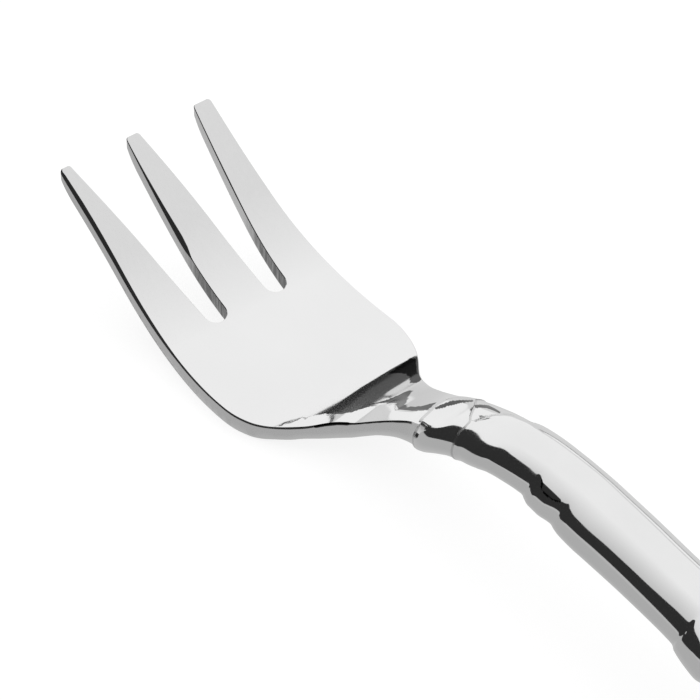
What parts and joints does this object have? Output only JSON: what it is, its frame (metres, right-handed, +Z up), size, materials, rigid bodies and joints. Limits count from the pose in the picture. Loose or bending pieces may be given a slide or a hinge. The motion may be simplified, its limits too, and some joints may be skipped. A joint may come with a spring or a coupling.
{
  "type": "oyster fork",
  "caption": "Small table fork with a broad dished plate, short pointed tines, a lapped collar and a slender, ringed hollow handle.",
  "frame": {"origin": "on the table, under the middle of the fork's whole length and width", "axes": "+Y from the butt of the handle to the tips of the tines, +Z up off the table on which the fork lies with its hollow side up, +X to the right seen from above with the tips away from the viewer"},
  "size_m": [0.019, 0.145, 0.0138],
  "materials": {
    "head_metal": "polished, with fine wiping marks",
    "collar_metal": "polished",
    "handle_metal": "polished, with fine wiping marks",
    "filler": "matt, hard cement"
  },
  "bodies": {
    "root": {"fork_head": "head_metal", "collar": "collar_metal", "upper_shell": "handle_metal", "lower_shell": "handle_metal", "handle_filler": "filler"}
  },
  "joints": []
}
